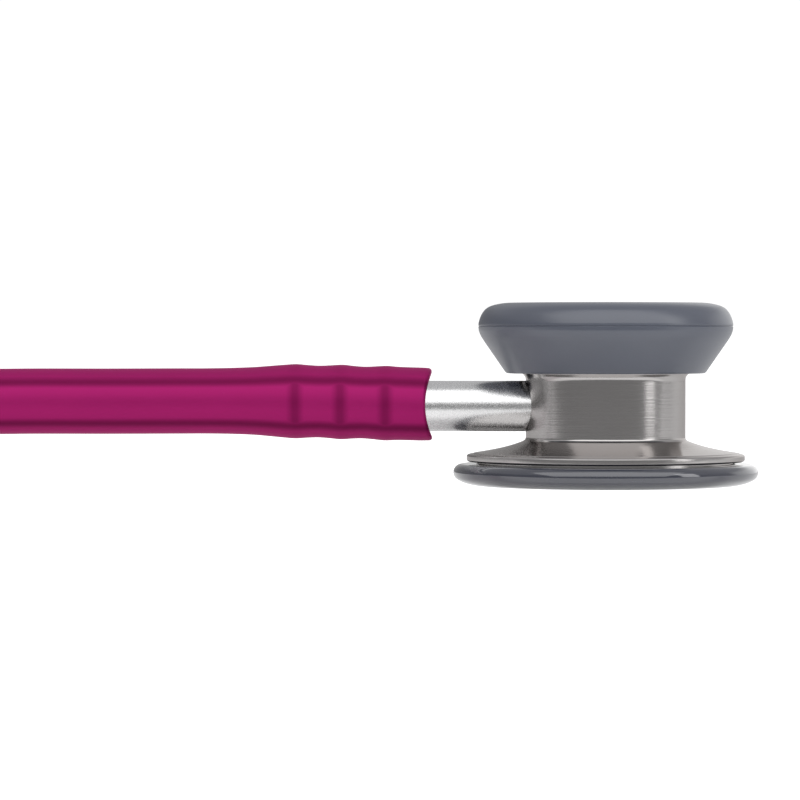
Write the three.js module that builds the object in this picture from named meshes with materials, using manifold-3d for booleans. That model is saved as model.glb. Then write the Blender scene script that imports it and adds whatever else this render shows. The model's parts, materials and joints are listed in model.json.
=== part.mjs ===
// A dual-head stethoscope, laid flat as it is put down on a table: chestpiece on its diaphragm
// side, tubing led away in one loop, headset beyond it.
// Millimetres, +Z up. The origin is the centre of the diaphragm's outer face. The tubing leaves
// the chestpiece towards -X, and the wearer's left side of the headset is +Y.
import * as THREE from "three";
import { mergeVertices } from "three/addons/utils/BufferGeometryUtils.js";
import Module from "manifold-3d";

const wasm = await Module();
wasm.setup();

// ---------------------------------------------------------------- driving dimensions
const gap = 0.3; // between pieces that touch on the real object
const restZ = -0.7; // the surface that everything lies on: the rim stands this far proud

const roundSides = 36; // facets round the chestpiece
const smallSides = 18; // facets round the stem and the ear tips

const neckRadius = 10;
const bellHoleRadius = 1.6;
const stem = { axisZ: 9.3, radius: 3.25, bore: 1.5, port: 1.3, inner: 4.6, outer: -44 };
const swivelClearance = 0.2;
const race = { x: -4.2, halfWidth: 1.1, radius: 2.65, pitRadius: 0.95 };
const clip = { x: 3.3, halfWidth: 0.3, inner: 2.8, outer: 3.7, mouth: 0.9 };
const seal = { x: -7.7, ring: 2.85, section: 0.35 };
const ball = { radius: 0.9, top: 6.58, holeRadius: 1.2 };
const detentSpring = { low: 3.35, high: 4.45, radius: 0.7, wire: 0.15, turns: 3 };
const detentPlug = { low: 2.05, high: 2.95, radius: 0.9 };

const tube = { radius: 4.1, lumen: 2, mouthX: -21.8, socketEndX: -50, sides: 10 };
const tubeRestZ = restZ + tube.radius;
const loop = {
  joinX: -138,
  x: -148,
  start: 35,
  end: 47,
  spreadFrom: 200,
  crossing: 321,
  lift: 8.7,
  hump: 24,
  points: 24,
};

const yoke = { x: -168, y: loop.start - loop.end, length: 38, height: 9, bevel: 3 };
const leaf = {
  thickness: 0.6,
  low: 1.3,
  high: 6.3,
  nose: [12.6, 0.9],
  start: [13.4, 1.5],
  middle: [24, 3.9],
  end: [35, 6.1],
};
const pivot = { reach: 41, side: 7.8, socketRadius: 4.45 };
const arm = {
  radius: 4.1,
  bends: [
    [34, 6],
    [70, 13.6],
  ],
  end: [141.4, 31.2],
  cuffRadius: 4.7,
  cuffLength: 22,
  spread: 14.5,
};
const earTube = {
  radius: 2.9,
  bore: 2.1,
  inside: 20,
  straight: 70,
  bend: 22,
  bendAngle: 92.5,
  lean: 15,
  end: 8,
};
const tip = { length: 13.4, overlap: 6.5 };

// ---------------------------------------------------------------- materials
const paint = (color, roughness, metalness) =>
  new THREE.MeshStandardMaterial({ color, roughness, metalness });
const steel = paint(0xb5b1ad, 0.35, 1);
const blastedSteel = paint(0xc8c8c8, 0.5, 1);
const springSteel = paint(0x8f9194, 0.3, 1);
const greyRubber = paint(0x646770, 0.55, 0);
const greyRim = paint(0x585a5f, 0.3, 0);
const epoxySheet = paint(0xd9dbd6, 0.4, 0);
const raspberryPvc = paint(0x8c1b57, 0.4, 0);
const blackRubber = paint(0x26272a, 0.6, 0);
const hardPlastic = paint(0x35363a, 0.45, 0);

// ---------------------------------------------------------------- helpers
const radians = THREE.MathUtils.degToRad;
const at = (x, y, z) => new THREE.Vector3(x, y, z);

const model = new THREE.Group();

function add(name, geometry, material) {
  const mesh = new THREE.Mesh(geometry, material);
  mesh.name = name;
  model.add(mesh);
  return mesh;
}

function toSolid(geometry) {
  const bare = geometry.index ? geometry.toNonIndexed() : geometry.clone();
  bare.deleteAttribute("normal");
  bare.deleteAttribute("uv");
  const merged = mergeVertices(bare, 1e-3);
  return new wasm.Manifold(
    new wasm.Mesh({
      numProp: 3,
      vertProperties: merged.attributes.position.array,
      triVerts: new Uint32Array(merged.index.array),
    }),
  );
}

function toGeometry(solid) {
  const { vertProperties, triVerts } = solid.getMesh();
  const geometry = new THREE.BufferGeometry();
  geometry.setAttribute("position", new THREE.BufferAttribute(vertProperties, 3));
  geometry.setIndex(new THREE.BufferAttribute(triVerts, 1));
  geometry.computeVertexNormals();
  return geometry;
}

const cut = (geometry, ...tools) =>
  toGeometry(tools.reduce((solid, tool) => solid.subtract(toSolid(tool)), toSolid(geometry)));
const join = (geometry, ...others) =>
  toGeometry(others.reduce((solid, other) => solid.add(toSolid(other)), toSolid(geometry)));

// A profile of [radius, height] pairs turned about +Z.
function turned(profile, sides = roundSides) {
  const points = profile.map(([radius, height]) => new THREE.Vector2(radius, height));
  return new THREE.LatheGeometry(points, sides).rotateX(Math.PI / 2);
}

// The same, with its axis laid along +X at the stem's height.
const turnedOnStem = (profile, sides = smallSides) =>
  turned(profile, sides)
    .rotateY(Math.PI / 2)
    .translate(0, 0, stem.axisZ);

// The same, with its foot at a point and its axis along a direction.
function turnedAlong(profile, foot, direction, sides = smallSides) {
  const turn = new THREE.Quaternion().setFromUnitVectors(at(0, 0, 1), direction);
  return turned(profile, sides).applyQuaternion(turn).translate(foot.x, foot.y, foot.z);
}

const rod = (radius, low, high) => [
  [0, low],
  [radius, low],
  [radius, high],
  [0, high],
];

const circle = (radius) => new THREE.Shape().absarc(0, 0, radius, 0, 2 * Math.PI);

// A round section swept along a curve. A bore makes it a pipe.
function swept(curve, radius, steps, sides = tube.sides, bore = 0) {
  const section = circle(radius);
  if (bore) section.holes.push(circle(bore));
  const curveSegments = sides / 2;
  return new THREE.ExtrudeGeometry(section, { steps, curveSegments, extrudePath: curve });
}

const through = (points) => new THREE.CatmullRomCurve3(points, false, "centripetal");

const smooth = (share) => {
  const s = THREE.MathUtils.clamp(share, 0, 1);
  return s * s * (3 - 2 * s);
};

// ---------------------------------------------------------------- chestpiece
function chestpieceBody() {
  const profile = [
    [bellHoleRadius, 2],
    [8, 1.75],
    [15, 1],
    [16.5, 1],
    [16.5, 1.45],
    [15.9, 1.6],
    [15.9, 2.5],
    [17.2, 2.5],
    [17.4, 2.65],
    [17.4, 3.05],
    [17.25, 3.2],
    [10.5, 4.96],
    [10.1, 5.2],
    [neckRadius, 5.6],
    [neckRadius, 12.7],
    [10.1, 13],
    [10.4, 13.25],
    [10.4, 13.6],
    [11.2, 14.4],
    [13.7, 17],
    [14.2, 18.4],
    [14.2, 20.2],
    [13.9, 20.7],
    [13.4, 20.9],
    [12.6, 20.9],
    [11.75, 20.4],
    [11.5, 19.4],
    [10.8, 18.1],
    [9.95, 17.2],
    [8.4, 16.3],
    [6, 15.5],
    [3, 15],
    [bellHoleRadius, 14.9],
    [bellHoleRadius, 2],
  ];
  const boreRadius = stem.radius + swivelClearance;
  const bore = turnedOnStem(rod(boreRadius, -12, stem.inner + 0.4));
  const clipGroove = turnedOnStem(
    rod(clip.outer + gap, clip.x - clip.halfWidth - gap, clip.x + clip.halfWidth + gap),
  );
  const detentHole = turned(rod(ball.holeRadius, 1, stem.axisZ - 2), smallSides);
  detentHole.translate(race.x, 0, 0);
  return cut(turned(profile), bore, clipGroove, detentHole);
}

// The non-chill sleeve stretched over the bell: one closed ring of rubber.
function bellSleeve() {
  return turned([
    [10.8, 13.35],
    [12.1, 13.35],
    [12.5, 13.6],
    [15.2, 17.3],
    [15.75, 18.2],
    [16, 19],
    [16, 19.6],
    [15.7, 20.4],
    [15.4, 21.05],
    [15, 21.5],
    [14.4, 21.85],
    [13.5, 22.1],
    [12.3, 22.2],
    [11.2, 22.1],
    [10.7, 21.7],
    [10.6, 21.2],
    [10.8, 20.7],
    [11.3, 20.45],
    [11.4, 20.8],
    [12.4, 21.25],
    [13.5, 21.25],
    [14.2, 21],
    [14.55, 20.35],
    [14.55, 18.3],
    [13.95, 16.76],
    [11.45, 14.16],
    [10.8, 13.5],
    [10.8, 13.35],
  ]);
}

// The snap-on rim: its lip holds the diaphragm, its bead sits under the flange's lip.
function diaphragmRim() {
  return turned([
    [14.4, restZ],
    [15.6, restZ],
    [16.6, -0.63],
    [17.74, -0.39],
    [18.62, 0],
    [19, 0.37],
    [19.12, 0.75],
    [19.12, 1.5],
    [18.9, 1.87],
    [18.6, 2.13],
    [18.2, 2.2],
    [16.2, 2.2],
    [16.2, 1.75],
    [16.8, 1.75],
    [16.8, 0.7],
    [16.2, 0.65],
    [16.2, -gap],
    [14.4, -gap],
    [14.4, restZ],
  ]);
}

// A sheet whose edge is thinner where the rim's lip holds it.
function diaphragm() {
  const edgeStep = 0.1;
  const top = 0.35;
  return turned([
    [0, 0],
    [14.1, 0],
    [14.2, edgeStep],
    [15.9, edgeStep],
    [15.9, top],
    [0, top],
  ]);
}

// ---------------------------------------------------------------- stem and detent
// Hose barbs at the outer end, a sealed end with one side port inside the chestpiece.
function stemPiece() {
  const { radius, bore, inner, outer } = stem;
  const sealWidth = seal.section + gap;
  const barbs = [-27.6, -33.2, -38.8].flatMap((crest) => [
    [2.85, crest + 1.6],
    [3.3, crest],
    [2.85, crest - 3.6],
  ]);
  const profile = [
    [0, inner],
    [2.95, inner],
    [radius, inner - 0.3],
    [radius, clip.x + clip.halfWidth + gap],
    [clip.inner - gap, clip.x + clip.halfWidth + gap],
    [clip.inner - gap, clip.x - clip.halfWidth - gap],
    [radius, clip.x - clip.halfWidth - gap],
    [radius, race.x + race.halfWidth],
    [race.radius, race.x + race.halfWidth],
    [race.radius, race.x - race.halfWidth],
    [radius, race.x - race.halfWidth],
    [radius, seal.x + sealWidth],
    [seal.ring - sealWidth, seal.x + sealWidth],
    [seal.ring - sealWidth, seal.x - sealWidth],
    [radius, seal.x - sealWidth],
    [radius, -24.2],
    [2.85, -24.8],
    ...barbs,
    [2.2, outer + 0.4],
    [2.1, outer],
    [bore, outer],
    [bore, 1.6],
    [0, 1.6],
  ].reverse();
  const port = turned(rod(stem.port, 0, stem.axisZ), smallSides);
  const pits = [-1, 1].map((side) =>
    new THREE.SphereGeometry(race.pitRadius, 12, 8).translate(
      race.x,
      0,
      stem.axisZ + side * stem.radius,
    ),
  );
  return cut(turnedOnStem(profile), port, ...pits);
}

function stemClip() {
  const { inner, outer, mouth, halfWidth } = clip;
  const ring = new THREE.Shape()
    .absarc(0, 0, outer, mouth / 2, 2 * Math.PI - mouth / 2)
    .absarc(0, 0, inner, 2 * Math.PI - mouth / 2, mouth / 2, true);
  ring.closePath();
  return new THREE.ExtrudeGeometry(ring, {
    depth: 2 * halfWidth,
    curveSegments: 14,
    bevelEnabled: false,
  })
    .translate(0, 0, -halfWidth)
    .rotateY(Math.PI / 2)
    .translate(clip.x, 0, stem.axisZ);
}

const stemSeal = () =>
  new THREE.TorusGeometry(seal.ring, seal.section, 8, smallSides)
    .rotateY(Math.PI / 2)
    .translate(seal.x, 0, stem.axisZ);

const detentBall = () =>
  new THREE.SphereGeometry(ball.radius, 12, 8).translate(race.x, 0, ball.top - ball.radius);

function detentCoil() {
  const { low, high, radius, wire, turns } = detentSpring;
  const stepsPerTurn = 12;
  const points = [];
  for (let i = 0; i <= turns * stepsPerTurn; i++) {
    const angle = (2 * Math.PI * i) / stepsPerTurn;
    const height = low + ((high - low) * i) / (turns * stepsPerTurn);
    points.push(at(race.x + radius * Math.cos(angle), radius * Math.sin(angle), height));
  }
  return swept(through(points), wire, turns * stepsPerTurn, 6);
}

function detentScrew() {
  const { low, high, radius } = detentPlug;
  const slot = new THREE.BoxGeometry(0.35, 3, 0.6).translate(race.x, 0, low);
  return cut(turned(rod(radius, low, high), smallSides).translate(race.x, 0, 0), slot);
}

// ---------------------------------------------------------------- tubing
// The end stretched over the barbs, swollen over each of them.
function tubeSocket() {
  const { mouthX, socketEndX, lumen, radius } = tube;
  const inside = 3.65;
  return turnedOnStem(
    [
      [inside, mouthX - 0.4],
      [inside, stem.outer - 0.6],
      [lumen + 0.2, stem.outer - 1.5],
      [lumen, socketEndX],
      [radius, socketEndX],
      [4.2, -45.8],
      [4.45, -42],
      [4.66, -39],
      [4.5, -36.2],
      [4.68, -33.3],
      [4.5, -30.6],
      [4.68, -27.8],
      [4.6, -24],
      [4.45, mouthX - 0.4],
      [4.15, mouthX],
      [3.8, mouthX - 0.1],
      [inside, mouthX - 0.4],
    ],
    tube.sides * 2,
  );
}

// From the socket, level at first, then down to the surface and on to the loop.
function lowerTube() {
  const points = [
    at(tube.socketEndX - gap, 0, 9.45),
    at(-60, 0, 9.6),
    at(-70, 0, 9.8),
    at(-80, 0, 9.75),
    at(-90, 0, 8.9),
    at(-100, 0, 6.9),
    at(-110, 0, 4.8),
    at(-120, 0, 3.65),
    at(-129, 0, tubeRestZ),
    at(loop.joinX + gap, 0, tubeRestZ),
  ];
  return swept(through(points), tube.radius, 14);
}

// One turn that widens as it comes round, climbs over the tube once, and runs out to the yoke.
function tubeLoop() {
  const points = [at(loop.joinX, 0, tubeRestZ)];
  for (let i = 0; i <= loop.points; i++) {
    const degrees = (360 * i) / loop.points;
    const share = smooth((degrees - loop.spreadFrom) / (360 - loop.spreadFrom));
    const radius = loop.start + (loop.end - loop.start) * share;
    const lift = loop.lift * Math.exp(-0.5 * ((degrees - loop.crossing) / loop.hump) ** 2);
    const angle = radians(degrees);
    points.push(
      at(
        loop.x - radius * Math.sin(angle),
        loop.start - radius * Math.cos(angle),
        tubeRestZ + lift,
      ),
    );
  }
  points.push(at(yoke.x + 8, yoke.y, tubeRestZ + 0.15), at(yoke.x + gap, yoke.y, tubeRestZ));
  return swept(through(points), tube.radius, 40);
}

// ---------------------------------------------------------------- yoke and leaf spring
// Headset places: u runs away from the chestpiece from the yoke's start, v to one side of it.
const inHeadset = (u, v, z, side = 1) => at(yoke.x - u, yoke.y + side * v, z);

// A flat outline in the headset's plane, given by one side's [u, v] points and mirrored.
function mirroredOutline(half) {
  const whole = [...half, ...half.toReversed().map(([u, v]) => [u, -v])];
  return new THREE.Shape(whole.map(([u, v]) => new THREE.Vector2(-u, v)));
}

function slab(shape, low, high, bevel = 0) {
  return new THREE.ExtrudeGeometry(shape, {
    depth: high - low - 2 * bevel,
    bevelEnabled: bevel > 0,
    bevelThickness: bevel,
    bevelSize: bevel,
    bevelOffset: -bevel,
    bevelSegments: 3,
  }).translate(yoke.x, yoke.y, low + bevel);
}

// A strip bent to a V. It can run on past its own ends, as its pocket does.
function leafOutline(thickness, extra = 0) {
  const half = thickness / 2;
  const { nose, start, middle, end } = leaf;
  const slope = (end[1] - middle[1]) / (end[0] - middle[0]);
  const reach = end[0] + extra;
  const side = end[1] + extra * slope;
  return mirroredOutline([
    [nose[0] - half, nose[1]],
    [start[0], start[1] + half],
    [middle[0], middle[1] + half],
    [reach, side + half],
    [reach, side - half],
    [middle[0], middle[1] - half],
    [start[0] + half, start[1] - half],
  ]);
}

function yokePiece() {
  const outline = mirroredOutline([
    [0, 4.7],
    [7, 5],
    [14, 6.6],
    [21, 9.4],
    [28, 11.7],
    [yoke.length, 12.6],
    [yoke.length, 3.3],
    [32, 2.9],
    [28.5, 1.9],
    [27, 0.8],
  ]);
  const sockets = [-1, 1].map((side) => {
    const centre = inHeadset(pivot.reach, pivot.side, tubeRestZ, side);
    return new THREE.SphereGeometry(pivot.socketRadius, 16, 12).translate(...centre);
  });
  const pocketEnd = yoke.length + 1 - leaf.end[0];
  const pocket = slab(
    leafOutline(leaf.thickness + 2 * gap, pocketEnd),
    leaf.low - gap,
    leaf.high + gap,
  );
  return cut(
    slab(outline, restZ, restZ + yoke.height, yoke.bevel),
    pocket,
    ...sockets,
  );
}

const leafSpring = () => slab(leafOutline(leaf.thickness), leaf.low, leaf.high);

// ---------------------------------------------------------------- headset
// The straight end of an arm, where its ear tube is pushed in.
function armEnd(side) {
  const spread = radians(arm.spread);
  return {
    point: inHeadset(pivot.reach + arm.end[0], pivot.side + arm.end[1], tubeRestZ, side),
    along: at(-Math.cos(spread), side * Math.sin(spread), 0),
    inward: at(-Math.sin(spread), -side * Math.cos(spread), 0),
  };
}

function armTube(side) {
  const start = inHeadset(pivot.reach, pivot.side, tubeRestZ, side);
  const { point: end, along } = armEnd(side);
  const back = (distance) => end.clone().addScaledVector(along, -distance);
  const curve = through([
    start,
    ...arm.bends.map(([u, v]) => inHeadset(pivot.reach + u, pivot.side + v, tubeRestZ, side)),
    back(arm.cuffLength + 12),
    back(arm.cuffLength),
    end,
  ]);
  const knuckle = new THREE.SphereGeometry(arm.radius, 14, 10).translate(...start);
  const cuff = turnedAlong(
    [
      [0, -4],
      [arm.radius - 0.2, -4],
      [arm.cuffRadius, 2],
      [arm.cuffRadius, arm.cuffLength - 0.4],
      [arm.cuffRadius - 0.4, arm.cuffLength],
      [0, arm.cuffLength],
    ],
    back(arm.cuffLength),
    along,
  );
  cuff.translate(0, 0, arm.cuffRadius - arm.radius);
  const bore = turnedAlong(
    rod(earTube.radius + gap, 0, arm.cuffLength + 4),
    back(earTube.inside + 0.6),
    along,
  );
  return cut(join(swept(curve, arm.radius, 16), knuckle, cuff), bore);
}

// Straight out of the arm, round one bend that leans up off the headset's plane, then straight.
class EarTubeCurve extends THREE.Curve {
  constructor(side) {
    super();
    const { point, along, inward } = armEnd(side);
    const lean = radians(earTube.lean);
    this.start = point.clone().addScaledVector(along, -earTube.inside);
    this.along = along;
    this.across = inward.clone().multiplyScalar(Math.cos(lean)).add(at(0, 0, Math.sin(lean)));
    this.straight = earTube.inside + earTube.straight;
    this.arc = earTube.bend * radians(earTube.bendAngle);
    this.total = this.straight + this.arc + earTube.end;
  }

  getPoint(t, target = at(0, 0, 0)) {
    const distance = t * this.total;
    const past = (distance - this.straight) / earTube.bend;
    const bent = THREE.MathUtils.clamp(past, 0, this.arc / earTube.bend);
    const beyond = Math.max(0, distance - this.straight - this.arc);
    const along =
      Math.min(distance, this.straight) + earTube.bend * Math.sin(bent) + beyond * Math.cos(bent);
    const across = earTube.bend * (1 - Math.cos(bent)) + beyond * Math.sin(bent);
    return target
      .copy(this.start)
      .addScaledVector(this.along, along)
      .addScaledVector(this.across, across);
  }
}

const earTubePiece = (side) =>
  swept(new EarTubeCurve(side), earTube.radius, 24, tube.sides, earTube.bore);

// Where the ear tip's foot sits on the ear tube's end, and which way it points.
function tipPlace(side) {
  const curve = new EarTubeCurve(side);
  const direction = curve.getTangent(1);
  return { foot: curve.getPoint(1).addScaledVector(direction, -tip.overlap), direction };
}

// The soft mushroom that seals in the ear.
function earTip(side) {
  const { foot, direction } = tipPlace(side);
  const profile = [
    [4, 0],
    [4.6, 0.3],
    [5.6, 2],
    [6.1, 4],
    [6.2, 6],
    [5.7, 8.6],
    [4.5, 11.2],
    [3.2, 12.8],
    [2.3, tip.length],
    [1.5, 13.2],
    [1.3, 12.4],
    [1.5, 8.6],
    [4, 7.4],
    [4, 0],
  ];
  return turnedAlong(profile, foot, direction);
}

// The hard ring inside it, which grips the ear tube.
function tipCore(side) {
  const { foot, direction } = tipPlace(side);
  const inner = earTube.radius + gap;
  const profile = [
    [inner, 0.8],
    [3.7, 0.8],
    [3.7, 7],
    [inner, 7],
    [inner, 0.8],
  ];
  return turnedAlong(profile, foot, direction);
}

// ---------------------------------------------------------------- the assembly
add("chestpiece_body", chestpieceBody(), steel);
add("bell_sleeve", bellSleeve(), greyRubber);
add("diaphragm_rim", diaphragmRim(), greyRim);
add("diaphragm", diaphragm(), epoxySheet);
add("stem", stemPiece(), blastedSteel);
add("stem_clip", stemClip(), springSteel);
add("stem_seal", stemSeal(), blackRubber);
add("detent_ball", detentBall(), springSteel);
add("detent_spring", detentCoil(), springSteel);
add("detent_screw", detentScrew(), springSteel);
add("tube_socket", tubeSocket(), raspberryPvc);
add("lower_tube", lowerTube(), raspberryPvc);
add("tube_loop", tubeLoop(), raspberryPvc);
add("yoke", yokePiece(), raspberryPvc);
add("leaf_spring", leafSpring(), springSteel);
for (const [name, side] of [["left", 1], ["right", -1]]) {
  add(`${name}_arm_tube`, armTube(side), raspberryPvc);
  add(`${name}_ear_tube`, earTubePiece(side), blastedSteel);
  add(`${name}_ear_tip`, earTip(side), greyRubber);
  add(`${name}_tip_core`, tipCore(side), hardPlastic);
}

export default model;
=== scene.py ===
# A dual-head stethoscope laid out at rest above a white sheet. The scene is in metres. The sizes in
# the tables below are millimetres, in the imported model's frame: the origin is the middle of the
# diaphragm's outer face, +Z is up, and the tubing leaves the chestpiece towards -X.
import json
import math

import bmesh
import bpy
import numpy as np
from mathutils import Matrix, Vector

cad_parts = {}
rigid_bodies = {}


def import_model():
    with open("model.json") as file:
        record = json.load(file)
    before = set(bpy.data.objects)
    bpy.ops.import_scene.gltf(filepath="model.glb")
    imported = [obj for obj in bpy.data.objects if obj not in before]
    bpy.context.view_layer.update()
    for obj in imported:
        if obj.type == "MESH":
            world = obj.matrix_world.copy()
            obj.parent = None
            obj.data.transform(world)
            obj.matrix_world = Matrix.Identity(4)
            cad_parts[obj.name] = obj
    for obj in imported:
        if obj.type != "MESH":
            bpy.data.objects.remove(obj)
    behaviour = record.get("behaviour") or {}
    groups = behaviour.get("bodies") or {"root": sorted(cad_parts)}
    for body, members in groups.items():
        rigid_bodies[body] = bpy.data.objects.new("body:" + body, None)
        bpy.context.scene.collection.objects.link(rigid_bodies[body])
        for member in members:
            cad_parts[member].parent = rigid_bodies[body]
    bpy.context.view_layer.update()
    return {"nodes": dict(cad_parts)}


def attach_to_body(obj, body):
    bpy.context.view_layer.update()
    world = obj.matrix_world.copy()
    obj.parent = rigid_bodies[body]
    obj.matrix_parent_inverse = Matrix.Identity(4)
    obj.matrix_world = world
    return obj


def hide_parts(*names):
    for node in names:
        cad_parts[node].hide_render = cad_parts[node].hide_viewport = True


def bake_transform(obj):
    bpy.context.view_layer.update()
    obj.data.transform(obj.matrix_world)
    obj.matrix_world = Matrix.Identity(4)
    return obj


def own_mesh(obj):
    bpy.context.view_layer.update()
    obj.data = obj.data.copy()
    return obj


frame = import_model()

MM = 0.001
TABLE_Z = -0.7  # the level that the rim and the tubing rest at
SHEET_Z = -12.0
STEM_AXIS_Z = 9.25
DETENT_X = -4.2  # the upright line through the ball, its spring and its screw
PARTING_Z = 3.8  # the middle of the yoke, where its mould parts
BARB_CRESTS = (-27.6, -33.2, -38.8)
CREASE = math.radians(38)  # edges sharper than this stay crisp

for leftover in [o for o in bpy.data.objects if o.type in ("CAMERA", "LIGHT") or o.name == "Cube"]:
    bpy.data.objects.remove(leftover)


def in_scene(name, data):
    """A new object, linked into the scene."""
    made = bpy.data.objects.new(name, data)
    bpy.context.scene.collection.objects.link(made)
    return made


# ---------------------------------------------------------------- node helpers
def node(tree, kind, inputs=None, **settings):
    """One node in any tree. An input is a number or colour, or another node's socket."""
    made = tree.nodes.new(kind)
    for name, value in settings.items():
        setattr(made, name, value)
    for name, value in (inputs or {}).items():
        if isinstance(value, bpy.types.NodeSocket):
            tree.links.new(value, made.inputs[name])
        else:
            made.inputs[name].default_value = value
    return made


def maths(tree, operation, first, second=0.0):
    return node(tree, "ShaderNodeMath", {0: first, 1: second}, operation=operation).outputs[0]


def vector_maths(tree, operation, first, second=(0, 0, 0), out=0):
    inputs = {0: first, 1: second}
    return node(tree, "ShaderNodeVectorMath", inputs, operation=operation).outputs[out]


def scaled(tree, vector, scale):
    inputs = {0: vector, "Scale": scale}
    return node(tree, "ShaderNodeVectorMath", inputs, operation="SCALE").outputs[0]


def between(tree, value, low, high):
    """A 0 to 1 value spread from low to high."""
    inputs = {"Value": value, "To Min": low, "To Max": high}
    return node(tree, "ShaderNodeMapRange", inputs).outputs[0]


def ramp(tree, factor, stops):
    """A colour ramp. Each stop is (position, grey) or (position, (red, green, blue))."""
    made = node(tree, "ShaderNodeValToRGB", {"Fac": factor})
    elements = made.color_ramp.elements
    while len(elements) < len(stops):
        elements.new(0.5)
    for element, (position, shade) in zip(elements, sorted(stops)):
        element.position = position
        rgb = (shade,) * 3 if isinstance(shade, (int, float)) else shade
        element.color = (*rgb, 1)
    return made.outputs["Color"]


def blend_colours(tree, factor, first, second):
    made = node(tree, "ShaderNodeMix", {"Factor": factor}, data_type="RGBA")
    for index, colour in ((6, first), (7, second)):
        if isinstance(colour, bpy.types.NodeSocket):
            tree.links.new(colour, made.inputs[index])
        else:
            made.inputs[index].default_value = (*colour, 1)
    return made.outputs[2]


def axis_of(tree, vector, axis):
    return node(tree, "ShaderNodeSeparateXYZ", {0: vector}).outputs[axis]


def start_finish(name, metallic=0.0, **fixed):
    """A new material with its fixed settings, its node tree, and its Object coordinates."""
    material = bpy.data.materials.new(name)
    material.use_nodes = True
    tree = material.node_tree
    for socket, value in {"Metallic": metallic, **fixed}.items():
        tree.nodes["Principled BSDF"].inputs[socket.replace("_", " ")].default_value = value
    return material, tree, node(tree, "ShaderNodeTexCoord").outputs["Object"]


def link_finish(material, sockets):
    tree = material.node_tree
    for name, socket in sockets.items():
        tree.links.new(socket, tree.nodes["Principled BSDF"].inputs[name])
    return material


# ---------------------------------------------------------------- camera, sheet and lights
def make_camera():
    aim = Vector((-25.74, 0, 10)) * MM
    distance, height = 0.487, math.radians(1)
    camera = in_scene("camera", bpy.data.cameras.new("camera"))
    camera.location = aim + distance * Vector((0, -math.cos(height), math.sin(height)))
    camera.rotation_euler = (aim - camera.location).to_track_quat("-Z", "Y").to_euler()
    camera.data.lens = 175
    camera.data.clip_start = 0.02
    bpy.context.scene.camera = camera


# How brightly the sheet lights the steel from below, and how light it is there. A ramp's 0 to 1
# covers a decimetre: towards the camera's side, or outwards from under the chestpiece.
SHEET_LIT = [(0.0, 0.4), (0.05, 0.1), (0.1, 0.1), (0.2, 1.0), (0.7, 1.0), (0.95, 0.0)]
# SHEET_CLEAR is a ring round the chestpiece where the sheet gives no glow: painted shade, which the
# rim reflects as a dark streak.
SHEET_CLEAR = [(0.18, 0.4), (0.2, 0.0), (0.22, 0.0), (0.27, 1.0)]
SHEET_SHADE = [(0.75, 0.8), (1.0, 0.25)]
PER_DECIMETRE = 10.0


def make_table():
    """A wide white sheet, a finger below the instrument so that the chestpiece can turn over."""
    half, z = 30.0, SHEET_Z * MM
    mesh = bpy.data.meshes.new("table_sheet")
    corners = [(-half, -half, z), (half, -half, z), (half, half, z), (-half, half, z)]
    mesh.from_pydata(corners, [], [(0, 1, 2, 3)])
    sheet = in_scene("table_sheet", mesh)
    fixed = {"Roughness": 0.9, "Emission_Color": (1, 1, 1, 1)}
    paper, tree, place = start_finish("white_paper", **fixed)
    front = maths(tree, "MULTIPLY", axis_of(tree, place, "Y"), -PER_DECIMETRE)
    level = vector_maths(tree, "LENGTH", place, out=1)
    clear = ramp(tree, maths(tree, "MULTIPLY", level, PER_DECIMETRE), SHEET_CLEAR)
    lit = maths(tree, "MULTIPLY", ramp(tree, front, SHEET_LIT), clear)
    glow = maths(tree, "MULTIPLY", lit, 0.42)
    shade = ramp(tree, front, SHEET_SHADE)
    # The camera sees an even white. Reflections see the shaded sheet.
    seen = node(tree, "ShaderNodeLightPath").outputs["Is Camera Ray"]
    sheet_white, sheet_glow = (
        node(tree, "ShaderNodeMix", {0: seen, 2: mirrored, 3: plain}, data_type="FLOAT").outputs[0]
        for mirrored, plain in ((shade, 0.82), (glow, 0.75))
    )
    link_finish(paper, {"Base Color": sheet_white, "Emission Strength": sheet_glow})
    mesh.materials.append(paper)


# How bright the room is at eye level, by the turn from the camera's side: 0 is behind the
# object, a quarter is its left, a half is the camera's side and three quarters its right.
ROOM_AROUND = [
    (0.0, 0.42), (0.014, 0.38), (0.056, 0.28), (0.2, 0.25), (0.25, 0.25),
    (0.28, 0.27), (0.7, 0.27), (0.72, 0.4), (0.795, 0.4), (0.82, 1.0), (0.92, 1.25),
    (0.98, 1.25), (1.0, 0.5),
]


def make_room():
    world = bpy.data.worlds.new("white_room")
    bpy.context.scene.world = world
    world.use_nodes = True
    tree = world.node_tree
    tree.nodes.clear()
    way = node(tree, "ShaderNodeTexCoord").outputs["Generated"]
    parts = node(tree, "ShaderNodeSeparateXYZ", {0: way}).outputs
    toward_camera = maths(tree, "MULTIPLY", parts["Y"], -1.0)
    turn = maths(tree, "ARCTAN2", parts["X"], toward_camera)
    share = maths(tree, "ADD", maths(tree, "DIVIDE", turn, 2 * math.pi), 0.5)
    around = ramp(tree, share, ROOM_AROUND)
    high = ramp(tree, parts["Z"], [(0.3, 0.0), (0.46, 1.0)])
    mixed = blend_colours(tree, high, around, (0.55, 0.55, 0.56))
    seen = node(tree, "ShaderNodeLightPath").outputs["Is Camera Ray"]
    room = node(tree, "ShaderNodeBackground", {"Color": mixed, "Strength": 1.0})
    white = node(tree, "ShaderNodeBackground", {"Color": (1, 1, 1, 1), "Strength": 1.05})
    both = node(tree, "ShaderNodeMixShader", {0: seen, 1: room.outputs[0], 2: white.outputs[0]})
    output = node(tree, "ShaderNodeOutputWorld")
    tree.links.new(both.outputs[0], output.inputs["Surface"])


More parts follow.
